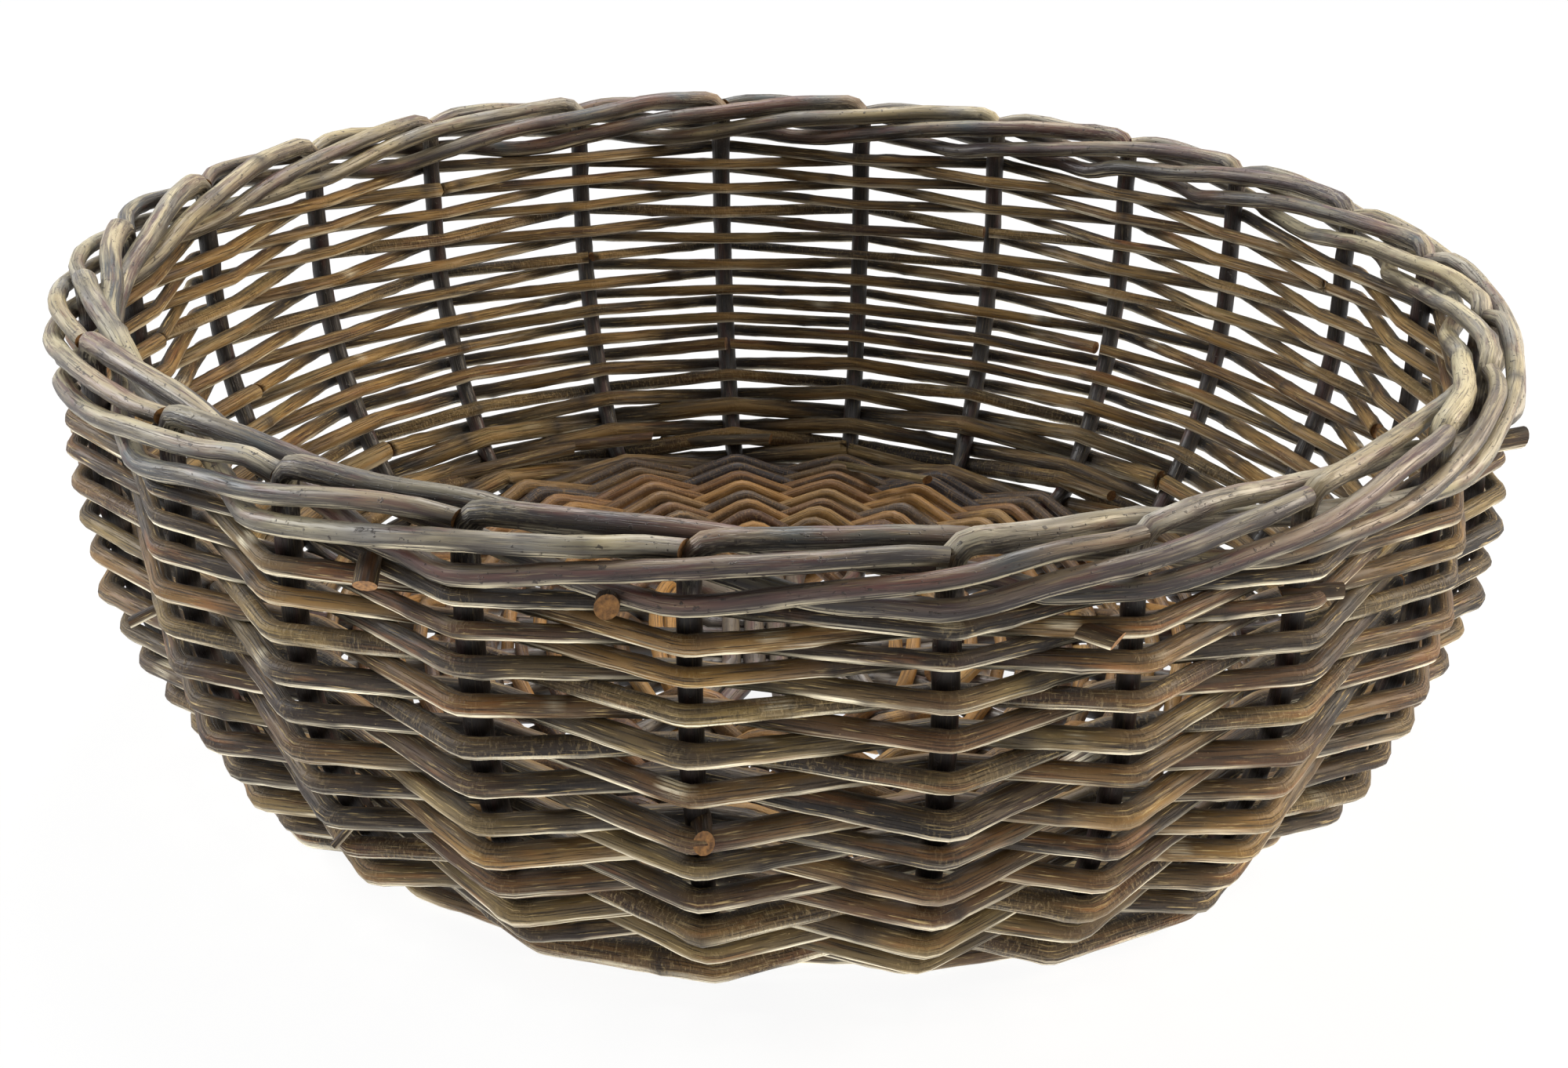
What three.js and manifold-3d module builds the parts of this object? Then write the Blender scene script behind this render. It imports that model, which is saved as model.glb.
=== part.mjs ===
// A round wicker bowl of unpeeled willow, in stake-and-strand basketry. Twelve long frame rods cross
// in the middle of the base, open out as spokes, turn up as stakes and bend over into the border.
// Two weavers chase each other round the flat base, and one weaver makes each row of the side, of which
// the lowest are a wale.
// Millimetres, +Z up. The origin is the middle of the circle that the bowl stands on.
import * as THREE from "three";
import { mergeVertices } from "three/addons/utils/BufferGeometryUtils.js";
import Module from "manifold-3d";

// Driving dimensions
const PAIRS_PER_ARM = 3; // pairs of rods in each arm of the cross
const START_ANGLE = 3; // degrees that the cross is turned from the X axis
const ROD_DIAMETER = 6.4; // frame rods
const SEAT_GAP = 0.45; // clearance between rods that bear on each other

const BASE_RADIUS = 147; // where the base turns up, on the rods' centre line
const BASE_DOME = 4; // rise of the base's middle over its edge
const CORNER_RADIUS = 21.5; // turn from the base into the side
const CORNER_SWEEP = 55; // degrees of that turn
const FLANK_RADIUS = 139; // slow curve of the side up to upright
const NECK_HEIGHT = 17.25; // upright stretch under the border

const BASE_WEAVER = 4.05; // weaver diameters, over the base
const FOOT_WEAVER = 5.4; // at the edge that the bowl stands on
const BELLY_WEAVER = 4.85; // over the belly of the side
const NECK_WEAVER = 3.9; // under the border
const BELLY_DISTANCE = 45; // of the belly, up the side from the edge of the base
const WALE_ROWS = 3; // lowest rows, in front of two stakes and behind one
const EASY_SPAN = 1.6; // shortest span that a base weaver takes, over the thickness that it passes
const TIE_ROUNDS = 2; // turns of the weaver that ties the cross
const TIE_START = 0.5; // where it starts, from the cross to the base weave
const END_GAP = 1.6; // between the butt and the tip of one row
const STANDING_CUT = 1; // depth worn flat under the rows that touch the ground

// Border, in rod lays: how far out from the stakes and how high over the last row, by stakes passed.
// A stake bends over, goes behind the next two, comes out below and rises in front of two more.
const BEND_HEIGHT = 1.5;
const BEND_RADIUS = 0.85;
const BORDER_ROUTE = [
  { stakes: 0.5, out: -0.45, height: 2.3 },
  { stakes: 1, out: -1.0, height: 2.0 },
  { stakes: 1.5, out: -1.06, height: 1.5 },
  { stakes: 2, out: -1.08, height: 0.98 },
  { stakes: 2.25, out: -0.75, height: 0.66 },
  { stakes: 2.5, out: -0.05, height: 0.51 },
  { stakes: 3, out: 1.0, height: 0.62 },
  { stakes: 3.5, out: 1.1, height: 1.16 },
  { stakes: 4, out: 1.05, height: 1.64 },
  { stakes: 4.5, out: 0.76, height: 2.12 },
  { stakes: 4.88, out: 0.45, height: 2.3 },
];

// How finely curves are faceted
const CORNER_STEPS = 3;
const FLANK_STEPS = 3;
const BEND_STEPS = 2;
const ROD_SIDES = 5;

// Sizes that follow
const armRods = 2 * PAIRS_PER_ARM;
const stakeCount = 4 * armRods;
const stakeAngle = (2 * Math.PI) / stakeCount;
const rodLay = ROD_DIAMETER + SEAT_GAP;
const rodRadius = ROD_DIAMETER / 2;
const radians = THREE.MathUtils.degToRad;
const upward = new THREE.Vector3(0, 0, 1);
const downward = new THREE.Vector3(0, 0, -1);

const bark = {
  rod: new THREE.MeshStandardMaterial({ color: 0x5d5149, roughness: 0.75, metalness: 0 }),
  side: new THREE.MeshStandardMaterial({ color: 0x66523a, roughness: 0.7, metalness: 0 }),
  base: new THREE.MeshStandardMaterial({ color: 0x6e4a2c, roughness: 0.72, metalness: 0 }),
};

// A weaver is drawn square, with a round rod's area. Its wave takes it past the rods, and is deep
// enough for the slanting weaver to clear one rod on its way to the next.
const weaverHalf = (diameter) => (Math.sqrt(Math.PI) * diameter) / 4;
const clearDepth = (diameter) => rodRadius + weaverHalf(diameter) + SEAT_GAP;
function waveDepth(diameter, span) {
  const clear = clearDepth(diameter);
  return clear / Math.sqrt(1 - ((2 * clear) / span) ** 2);
}

// Where the spokes are far enough apart for the base weave to begin, in pairs and then singly
const easySpan = 2 * EASY_SPAN * clearDepth(BASE_WEAVER);
const bindRadius = (rodLay + easySpan) / (2 * Math.sin(stakeAngle));
const openRadius = easySpan / (2 * Math.sin(stakeAngle / 2));

// Height of the rods' centre line at the edge of the base, over the row that the bowl stands on
const edgeSpan = 2 * BASE_RADIUS * Math.sin(stakeAngle / 2);
const edgeHeight = waveDepth(FOOT_WEAVER, edgeSpan) + weaverHalf(FOOT_WEAVER) - STANDING_CUT;

// Side profile, radius against height, along the stakes' centre line
function sideProfile() {
  const turn = radians(CORNER_SWEEP) - Math.PI / 2;
  const middle = edgeHeight + CORNER_RADIUS;
  const corner = new THREE.EllipseCurve(
    BASE_RADIUS, middle, CORNER_RADIUS, CORNER_RADIUS, -Math.PI / 2, turn,
  );
  const back = FLANK_RADIUS - CORNER_RADIUS;
  const flank = new THREE.EllipseCurve(
    BASE_RADIUS - back * Math.cos(turn), middle - back * Math.sin(turn), FLANK_RADIUS, FLANK_RADIUS, turn, 0,
  );
  const points = [...corner.getPoints(CORNER_STEPS), ...flank.getPoints(FLANK_STEPS).slice(1)];
  const shoulder = points.at(-1);
  return [...points, new THREE.Vector2(shoulder.x, shoulder.y + NECK_HEIGHT)];
}
const profile = sideProfile();
const seat = profile.at(-1); // where the border sits
const runs = profile.slice(1).map((end, i) => ({
  start: profile[i],
  along: end.clone().sub(profile[i]).normalize(),
  length: end.distanceTo(profile[i]),
}));
const sideLength = runs.reduce((sum, run) => sum + run.length, 0);
const outwardOf = (along) => new THREE.Vector2(along.y, -along.x);

// Point and outward normal of the side at a distance up it from the edge of the base
function onSide(distance) {
  let left = distance;
  let at = 0;
  while (left > runs[at].length) {
    left -= runs[at].length;
    at += 1;
  }
  const { start, along } = runs[at];
  return { place: start.clone().addScaledVector(along, left), out: outwardOf(along) };
}

// Turns a radius and height, or a direction, to an angle round the bowl
const around = (flat, angle) =>
  new THREE.Vector3(flat.x * Math.cos(angle), flat.x * Math.sin(angle), flat.y);

// The spokes: each arm of the cross holds pairs of rods, which part between the two radii
const pairAngle = (spoke) => (Math.floor(spoke / 2) - (PAIRS_PER_ARM - 1) / 2) * 2 * stakeAngle;
const pairSide = (spoke) => (spoke % 2 === 0 ? -1 : 1);
const spokeAngle = (spoke) => pairAngle(spoke) + (pairSide(spoke) * stakeAngle) / 2;

function baseHeight(radius) {
  const dome = (r) => edgeHeight + BASE_DOME * (1 - (r / BASE_RADIUS) ** 2);
  const stops = [0, bindRadius, openRadius, BASE_RADIUS];
  const next = Math.max(1, stops.findIndex((stop) => stop >= radius));
  const [low, high] = [stops[next - 1], stops[next]];
  return THREE.MathUtils.mapLinear(radius, low, high, dome(low), dome(high));
}

// Angle between a spoke and the middle of its pair
function partingAngle(radius) {
  const open = openRadius * Math.sin(stakeAngle / 2);
  const share = (radius - bindRadius) / (openRadius - bindRadius);
  const aside = THREE.MathUtils.lerp(rodLay / 2, open, Math.max(0, share));
  return radius < openRadius ? Math.asin(aside / radius) : stakeAngle / 2;
}

function spokePoint(spoke, radius) {
  const angle = pairAngle(spoke) + pairSide(spoke) * partingAngle(radius);
  return around(new THREE.Vector2(radius, baseHeight(radius)), angle);
}

// Where a rod leaves its place in the cross for its pair's line. Arms along X are the lower layer.
function crossPoint(spoke) {
  const arm = Math.floor(spoke / armRods);
  const armAngle = (arm * Math.PI) / 2;
  const place = ((spoke % armRods) - (armRods - 1) / 2) * rodLay;
  const lean = pairAngle(spoke) - armAngle;
  const aside = (pairSide(spoke) * rodLay) / 2;
  let reach = (armRods * rodLay) / Math.sqrt(3);
  if (Math.abs(lean) > stakeAngle / 2) {
    const along = (place - aside * Math.cos(lean)) / Math.sin(lean);
    reach = along * Math.cos(lean) - aside * Math.sin(lean);
  }
  const layer = arm % 2 === 0 ? -rodLay / 2 : rodLay / 2;
  return new THREE.Vector3(reach, place, baseHeight(0) + layer).applyAxisAngle(upward, armAngle);
}

// The line of a rod, through given points, with the way that its outer face looks at each
class RodLine extends THREE.Curve {
  constructor(points, facings) {
    super();
    this.points = points;
    this.facings = facings;
  }

  getSpacedPoints() {
    return this.points;
  }

  computeFrenetFrames() {
    const frames = { tangents: [], normals: [], binormals: [] };
    const steps = this.points.slice(1).map((end, i) => end.clone().sub(this.points[i]).normalize());
    this.facings.forEach((facing, i) => {
      const before = steps[Math.max(0, i - 1)];
      const after = steps[Math.min(i, steps.length - 1)];
      const tangent = before.clone().add(after).normalize();
      const binormal = tangent.clone().cross(facing).normalize();
      frames.tangents.push(tangent);
      frames.binormals.push(binormal);
      frames.normals.push(binormal.clone().cross(tangent));
    });
    return frames;
  }
}

function rodAlong(points, facings, section) {
  const settings = { steps: points.length - 1, extrudePath: new RodLine(points, facings) };
  const geometry = new THREE.ExtrudeGeometry(section, settings);
  return mergeVertices(geometry.deleteAttribute("normal").deleteAttribute("uv"));
}

function roundSection(radius, sides) {
  const corners = Array.from({ length: sides }, (_, k) => {
    const turn = (2 * Math.PI * k) / sides;
    return new THREE.Vector2(radius * Math.cos(turn), radius * Math.sin(turn));
  });
  return new THREE.Shape(corners);
}

function squareSection(half) {
  const corners = [[1, 1], [-1, 1], [-1, -1], [1, -1]];
  return new THREE.Shape(corners.map(([x, y]) => new THREE.Vector2(half * x, half * y)));
}

// Half of a frame rod, from the cross out along its spoke, up its stake and round the border
function rodHalf(spoke) {
  const angle = spokeAngle(spoke);
  const points = [crossPoint(spoke), spokePoint(spoke, bindRadius), spokePoint(spoke, openRadius)];
  const facings = points.map(() => downward);
  profile.forEach((place, i) => {
    const below = runs[Math.max(0, i - 1)].along;
    const above = runs[Math.min(i, runs.length - 1)].along;
    points.push(around(place, angle));
    facings.push(around(outwardOf(below.clone().add(above)), angle));
  });

  const toBorder = (stakes, out, height) => {
    const turned = angle + stakes * stakeAngle;
    points.push(around(new THREE.Vector2(seat.x + out * rodLay, seat.y + height * rodLay), turned));
    facings.push(around(new THREE.Vector2(1, 0), turned));
  };
  const laysPerStake = (seat.x * stakeAngle) / rodLay;
  for (let step = 0; step <= BEND_STEPS; step++) {
    const turn = (Math.PI / 2) * (step / BEND_STEPS);
    const along = BEND_RADIUS * (1 - Math.cos(turn));
    toBorder(along / laysPerStake, 0, BEND_HEIGHT + BEND_RADIUS * Math.sin(turn));
  }
  for (const { stakes, out, height } of BORDER_ROUTE) toBorder(stakes, out, height);
  return { points, facings };
}

// A whole frame rod: two halves, joined straight across the middle of the base
function frameRod(spoke) {
  const arm = Math.floor(spoke / armRods);
  const partner = (2 * arm + 3) * armRods - 1 - spoke;
  const near = rodHalf(spoke);
  const far = rodHalf(partner);
  const points = [...near.points.reverse(), ...far.points];
  const facings = [...near.facings.reverse(), ...far.facings];
  return rodAlong(points, facings, roundSection(rodRadius, ROD_SIDES));
}

// One row of the side: a weaver once round, outside one stake or two and inside the next, with its
// two ends meeting on the inner side of a stake
function sideWeaver(row, distance, diameter) {
  const { place, out } = onSide(distance);
  const depth = waveDepth(diameter, 2 * place.x * Math.sin(stakeAngle / 2));
  const stakesToNextStart = 7;
  const first = stakesToNextStart * row + 1;
  const repeat = row < WALE_ROWS ? 3 : 2;
  const points = [];
  const facings = [];
  for (let stake = first; stake <= first + stakeCount; stake++) {
    const sign = (stake - first) % repeat === 0 ? -1 : 1;
    const angle = spokeAngle(stake % stakeCount);
    points.push(around(place.clone().addScaledVector(out, sign * depth), angle));
    facings.push(around(out, angle));
  }
  const last = points.length - 1;
  const drawIn = END_GAP / 2 / points[0].distanceTo(points[1]);
  points[0].lerp(points[1], drawIn);
  points[last].lerp(points[last - 1], drawIn);
  return rodAlong(points, facings, squareSection(weaverHalf(diameter)));
}

// Where the rows of the side lie, and how thick each is
function sideRows() {
  const thickness = (distance) => {
    if (distance < BELLY_DISTANCE) {
      return THREE.MathUtils.mapLinear(distance, 0, BELLY_DISTANCE, FOOT_WEAVER, BELLY_WEAVER);
    }
    return THREE.MathUtils.mapLinear(distance, BELLY_DISTANCE, sideLength, BELLY_WEAVER, NECK_WEAVER);
  };
  const rows = [];
  let distance = FOOT_WEAVER / 2;
  while (distance + thickness(distance) / 2 + SEAT_GAP < sideLength) {
    rows.push({ distance, diameter: thickness(distance) });
    distance += thickness(distance) + SEAT_GAP;
  }
  return rows;
}

// One of the two base weavers. It spirals out from the cross, first round pairs of spokes and then
// round single spokes, always on the other side of a spoke from its fellow, half a turn away.
function baseWeaver(order) {
  const lead = 2 * (BASE_WEAVER + SEAT_GAP);
  const pairStart = bindRadius + BASE_WEAVER / 2;
  const pairSteps = 2 * Math.floor(((openRadius - pairStart) / lead) * (stakeCount / 2));
  const singleStart = openRadius + BASE_WEAVER / 2;
  const singleEnd = BASE_RADIUS - BASE_WEAVER / 2 - SEAT_GAP;
  const singleSteps = Math.floor(((singleEnd - singleStart) / lead) * stakeCount);
  const points = [];
  const facings = [];
  const pass = (spoke, radius, group, span) => {
    const depth = waveDepth(BASE_WEAVER, span);
    const point = spokePoint(spoke, radius);
    point.z += (group + order) % 2 === 0 ? depth : -depth;
    points.push(point);
    facings.push(downward);
  };
  const spokeAt = (step) => (step + (order * stakeCount) / 2) % stakeCount;
  for (let step = 0; step < pairSteps; step++) {
    const radius = pairStart + (lead * step) / stakeCount;
    const pairGap = 2 * radius * Math.sin(stakeAngle - partingAngle(radius));
    pass(spokeAt(step), radius, Math.floor(spokeAt(step) / 2), pairGap);
  }
  for (let step = 0; step < singleSteps; step++) {
    const radius = singleStart + (lead * step) / stakeCount;
    const spoke = spokeAt(pairSteps + step);
    pass(spoke, radius, spoke, 2 * radius * Math.sin(stakeAngle / 2));
  }
  return rodAlong(points, facings, squareSection(weaverHalf(BASE_WEAVER)));
}

// The tie that holds the cross: a weaver wound over the arms of the lower layer and under the others
function crossTie() {
  const points = [];
  const facings = [];
  const edgePoint = (spoke, share) => crossPoint(spoke).lerp(spokePoint(spoke, bindRadius), share);
  const clear = clearDepth(BASE_WEAVER);
  const edges = 8;
  for (let step = 0; step < TIE_ROUNDS * edges; step++) {
    const arm = Math.floor(step / 2) % 4;
    const first = arm * armRods;
    const last = first + armRods - 1;
    const share = THREE.MathUtils.mapLinear(step, 0, TIE_ROUNDS * edges, TIE_START, 1);
    const point = edgePoint(step % 2 === 0 ? first : last, share);
    const across = edgePoint((last + 1) % stakeCount, share).sub(edgePoint(last, share));
    const drop = 2 * clear - Math.abs(across.z);
    const depth = clear / Math.sqrt(1 - (drop / Math.hypot(across.x, across.y)) ** 2);
    point.z += arm % 2 === 0 ? depth : -depth;
    points.push(point);
    facings.push(downward);
  }
  return rodAlong(points, facings, squareSection(weaverHalf(BASE_WEAVER)));
}

// Cuts away what lies below the ground, where the lowest rows are worn flat
const wasm = await Module();
wasm.setup();
function solidOf(geometry) {
  const vertProperties = geometry.getAttribute("position").array;
  const triVerts = new Uint32Array(geometry.index.array);
  return new wasm.Manifold(new wasm.Mesh({ numProp: 3, vertProperties, triVerts }));
}

function wornFlat(geometry) {
  geometry.computeBoundingBox();
  if (geometry.boundingBox.min.z >= 0) return geometry;
  const width = 4 * BASE_RADIUS;
  const ground = new THREE.BoxGeometry(width, width, BASE_RADIUS).translate(0, 0, -BASE_RADIUS / 2);
  const groundSolid = solidOf(mergeVertices(ground.deleteAttribute("normal").deleteAttribute("uv")));
  const kept = solidOf(geometry).subtract(groundSolid).getMesh();
  const worn = new THREE.BufferGeometry();
  worn.setAttribute("position", new THREE.BufferAttribute(kept.vertProperties, 3));
  worn.setIndex(new THREE.BufferAttribute(kept.triVerts, 1));
  return worn;
}

// The bowl
const bowl = new THREE.Group();
bowl.name = "wicker_bowl";
bowl.rotation.z = radians(START_ANGLE);
function add(stem, number, geometry, material) {
  const mesh = new THREE.Mesh(geometry, material);
  mesh.name = `${stem}_${String(number).padStart(2, "0")}`;
  bowl.add(mesh);
}

for (let rod = 0; rod < stakeCount / 2; rod++) add("frame_rod", rod + 1, frameRod(rod), bark.rod);
add("cross_tie", 1, crossTie(), bark.base);
for (const order of [0, 1]) add("base_weaver", order + 1, wornFlat(baseWeaver(order)), bark.base);
sideRows().forEach(({ distance, diameter }, row) => {
  add("side_weaver", row + 1, wornFlat(sideWeaver(row, distance, diameter)), bark.side);
});

export default bowl;
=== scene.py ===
import math
import random

import bmesh
import bpy
from mathutils import Matrix, Vector, noise


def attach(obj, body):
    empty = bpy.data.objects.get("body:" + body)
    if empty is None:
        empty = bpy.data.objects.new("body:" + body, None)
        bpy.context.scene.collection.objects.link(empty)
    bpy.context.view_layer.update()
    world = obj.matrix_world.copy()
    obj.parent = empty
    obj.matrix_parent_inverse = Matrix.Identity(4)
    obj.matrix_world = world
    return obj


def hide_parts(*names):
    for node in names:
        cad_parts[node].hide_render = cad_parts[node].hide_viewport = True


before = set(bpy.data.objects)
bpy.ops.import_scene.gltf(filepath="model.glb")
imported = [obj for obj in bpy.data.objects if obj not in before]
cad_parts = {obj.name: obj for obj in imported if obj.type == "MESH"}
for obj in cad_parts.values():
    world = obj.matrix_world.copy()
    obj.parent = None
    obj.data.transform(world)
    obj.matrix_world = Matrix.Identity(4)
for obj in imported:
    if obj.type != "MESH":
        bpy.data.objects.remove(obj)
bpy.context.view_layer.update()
mm = 0.001
print("frame loaded, rods:", len(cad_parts))

# The bowl's driving sizes, the same as the frame's
bowl = {
    "stakes": 24,
    "firstStake": math.radians(-34.5),
    "armRods": 6,
    "rod": 6.4 * mm,
    "gap": 0.45 * mm,
    "baseRadius": 147 * mm,
    "baseDome": 4 * mm,
    "cornerRadius": 21.5 * mm,
    "cornerSweep": math.radians(55),
    "flankRadius": 139 * mm,
    "neck": 17.25 * mm,
    "standingCut": 1 * mm,
    "footWeaver": 5.4 * mm,
    "waleRows": 3,  # lowest rows, in front of two stakes and behind one
    "baseWeaver": 4.05 * mm,
    "easySpan": 1.6,  # shortest span of a base weaver, over the thickness that it passes
}
# What the hand left uneven: the foot stands to one side of the rim, and stakes are some degrees off
hand = {
    "lean": 4 * mm,
    "stray": 0.7,  # degrees at most, for a stake that isn't named below
    "strays": {6: -1.5, 7: -1.6, 8: -2, 9: -1.9, 10: -1.5, 17: 2.5, 21: 1.1, 22: -1.1, 23: -2.2},
    "stakeSizes": (0.85, 0.98),  # of the frame's rods
    "seed": 24,
}
stakes = bowl["stakes"]
bayAngle = 2 * math.pi / stakes
rodRadius = bowl["rod"] / 2
lay = bowl["rod"] + bowl["gap"]
upward = Vector((0, 0, 1))
frontAngle = math.radians(-90)


def spinRound(radius, height, angle):
    return Vector((radius * math.cos(angle), radius * math.sin(angle), height))


def waveDepth(thickness, span):
    clear = rodRadius + math.sqrt(math.pi) * thickness / 4 + bowl["gap"]
    return clear / math.sqrt(1 - (2 * clear / span) ** 2)


# Height of the spokes' middle line where the base turns up
footHalf = math.sqrt(math.pi) * bowl["footWeaver"] / 4
edgeSpan = 2 * bowl["baseRadius"] * math.sin(bayAngle / 2)
edgeHeight = waveDepth(bowl["footWeaver"], edgeSpan) + footHalf - bowl["standingCut"]

# The side's profile: a corner arc, a slow flank arc and an upright neck
cornerLength = bowl["cornerRadius"] * bowl["cornerSweep"]
flankTurn = math.pi / 2 - bowl["cornerSweep"]
flankLength = bowl["flankRadius"] * flankTurn
sideLength = cornerLength + flankLength + bowl["neck"]
cornerHeight = edgeHeight + bowl["cornerRadius"]
flankBack = bowl["flankRadius"] - bowl["cornerRadius"]
flankRadial = bowl["baseRadius"] - flankBack * math.cos(flankTurn)
flankHeight = cornerHeight + flankBack * math.sin(flankTurn)
seatRadius = flankRadial + bowl["flankRadius"]
seatHeight = flankHeight + bowl["neck"]


def sidePlace(distance):  # radius, height and outward slope at a distance up the side
    if distance < cornerLength:
        turn = distance / bowl["cornerRadius"] - math.pi / 2
        radius = bowl["baseRadius"] + bowl["cornerRadius"] * math.cos(turn)
        return radius, cornerHeight + bowl["cornerRadius"] * math.sin(turn), turn
    turn = (distance - cornerLength) / bowl["flankRadius"] - flankTurn
    if turn < 0:
        radius = flankRadial + bowl["flankRadius"] * math.cos(turn)
        return radius, flankHeight + bowl["flankRadius"] * math.sin(turn), turn
    return seatRadius, flankHeight + distance - cornerLength - flankLength, 0


handwork = random.Random(hand["seed"])
noise.seed_set(hand["seed"])  # Blender starts its noise vectors by the clock otherwise
stakeAngles = []
for stake in range(stakes):
    stray = hand["strays"].get(stake, handwork.uniform(-hand["stray"], hand["stray"]))
    stakeAngles.append(bowl["firstStake"] + bayAngle * stake + math.radians(stray))
stakeSizes = [handwork.uniform(*hand["stakeSizes"]) for stake in range(stakes)]


# A line of stops that a rod follows: where its middle is, which way it faces, how thick it is and
# how its bark looks there
def addStop(line, place, facing, radius, tone=0.5, weather=0.0, wrinkle=0.0, wave=0.0):
    stop = {"place": place, "facing": facing, "radius": radius, "wave": wave}
    line.append(stop | {"tone": tone, "weather": weather, "wrinkle": wrinkle})


def betweenStops(first, last, share):
    return {key: first[key] + (last[key] - first[key]) * share for key in first}


# Straight runs between stops, with a new stop about every step. Long runs may be wrinkled in their own
# way between the bends.
def straightLine(line, step, wrinkle=None):
    out = [line[0]]
    for first, last in zip(line, line[1:]):
        count = max(1, round((last["place"] - first["place"]).length / step))
        for k in range(1, count + 1):
            stop = betweenStops(first, last, k / count)
            if wrinkle is not None and 2 < count and k < count:
                stop["wrinkle"] = wrinkle
            out.append(stop)
    return out


# A springy curve through the stops, with a new stop about every step
def springLine(line, step):
    out = [line[0]]
    for k in range(len(line) - 1):
        first, last = line[k], line[k + 1]
        before, after = line[max(k - 1, 0)], line[min(k + 2, len(line) - 1)]
        length = (last["place"] - first["place"]).length
        count = max(1, round(length / step))
        pullFirst = (last["place"] - before["place"]).normalized() * length
        pullLast = (after["place"] - first["place"]).normalized() * length
        for j in range(1, count + 1):
            t = j / count
            stop = betweenStops(first, last, t)
            stop["place"] = (
                first["place"] * (2 * t**3 - 3 * t**2 + 1)
                + pullFirst * (t**3 - 2 * t**2 + t)
                + last["place"] * (3 * t**2 - 2 * t**3)
                + pullLast * (t**3 - t**2)
            )
            out.append(stop)
    return out


# What every rod of bark has, whatever it is used for
rodGrowth = {
    "sides": 14,
    "oval": 0.06,  # how far the section is from round
    "lump": 0.09,
    "lumpLength": 7 * mm,
    "scarEvery": (28 * mm, 62 * mm),  # leaf scars, which swell one side
    "scarSwell": 0.15,
    "scarLength": 2.4 * mm,
    "scarReach": 3,  # lengths of a scar to where nothing of it is left
    "scarRound": 0.4,  # share of the swelling that goes all round the rod
    "slant": 0.6,  # how far the cut ends are from square
    "underFrom": 0.22,  # how far a face looks down before its bark is scuffed and painted pale, as if lit from below
    "underOver": 0.4,
    "scuffLength": 16 * mm,  # how long the scuffed stretches are
    "scuffShare": 0.8,  # how scuffed an underside is on the whole
    "scuffSpread": 1.6,  # and how unevenly
    "scuffWeather": 10,  # even a tenth of the weather scuffs fully
    "scuffShift": 9,  # keeps the scuffs apart from the lumps
    "overFrom": 0.15,  # how far a face looks up before it is weathered pale and painted pale as a highlight
    "overOver": 0.6,
    "lowShadeFrom": 0.5,  # how far a face looks up where it starts to be painted dark as shade
    "lowShadeOver": 0.7,
    "inwardShadeFrom": -0.55,  # how far a face is turned away before it is painted dark as the shade of the weave
    "inwardShadeOver": 1.1,
    "barkShift": 0.37,  # from one rod's place in the bark's pattern to the next one's
    "seam": 0.001 * mm,  # joins the two edges of the grid
}
barkLooks = ("tone", "weather", "wrinkle", "innerLight", "under", "scar", "over", "low", "tuckedShade")
rodCount = 0


def measureLine(line):  # which way the rod runs at each stop, and how far along it the stop is
    run = 0.0
    for k, stop in enumerate(line):
        before, after = line[max(k - 1, 0)]["place"], line[min(k + 1, len(line) - 1)]["place"]
        stop["along"] = (after - before).normalized()
        stop["normal"] = (stop["facing"] - stop["along"] * stop["facing"].dot(stop["along"])).normalized()
        stop["across"] = stop["along"].cross(stop["normal"])
        run += (stop["place"] - before).length
        stop["run"] = run
    return run


def growScars(growth, length):  # how far along the rod each leaf scar is, and which way it faces
    scars = []
    run = growth.uniform(0, rodGrowth["scarEvery"][1])
    while run < length:
        scars.append((run, growth.uniform(0, 2 * math.pi)))
        run += growth.uniform(*rodGrowth["scarEvery"])
    return scars


def scarAt(scars, run, turn):  # how far the scars swell the rod at a place, and how much of them shows
    swell = scar = 0.0
    for scarRun, scarTurn in scars:
        near = (run - scarRun) / rodGrowth["scarLength"]
        if abs(near) < rodGrowth["scarReach"]:
            bud = math.exp(-near * near)
            toward = math.cos(turn - scarTurn)
            swell += bud * (rodGrowth["scarRound"] + (1 - rodGrowth["scarRound"]) * toward)
            scar = max(scar, bud * toward)
    return rodGrowth["scarSwell"] * swell, scar


# What the way a face looks does to its bark: scuffed below and painted pale there as light from below,
# weathered above and painted pale there as a highlight, and painted dark as shade on its lower side and
# where it turns in towards the weave
def wearAndPaintedLightAt(stop, outward, turn, scuffPlace):
    scuff = rodGrowth["scuffShare"] + rodGrowth["scuffSpread"] * noise.noise(scuffPlace)
    scuff *= min(1, rodGrowth["scuffWeather"] * stop["weather"])
    wearAndLight = {
        "under": scuff * (-outward.z - rodGrowth["underFrom"]) / rodGrowth["underOver"],
        "over": stop["weather"] * (outward.z - rodGrowth["overFrom"]) / rodGrowth["overOver"],
        "low": (rodGrowth["lowShadeFrom"] - outward.z) / rodGrowth["lowShadeOver"],
        "tuckedShade": (-stop["wave"] * math.cos(turn) - rodGrowth["inwardShadeFrom"]) / rodGrowth["inwardShadeOver"],
    }
    return {key: min(1, max(0, value)) for key, value in wearAndLight.items()}


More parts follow.
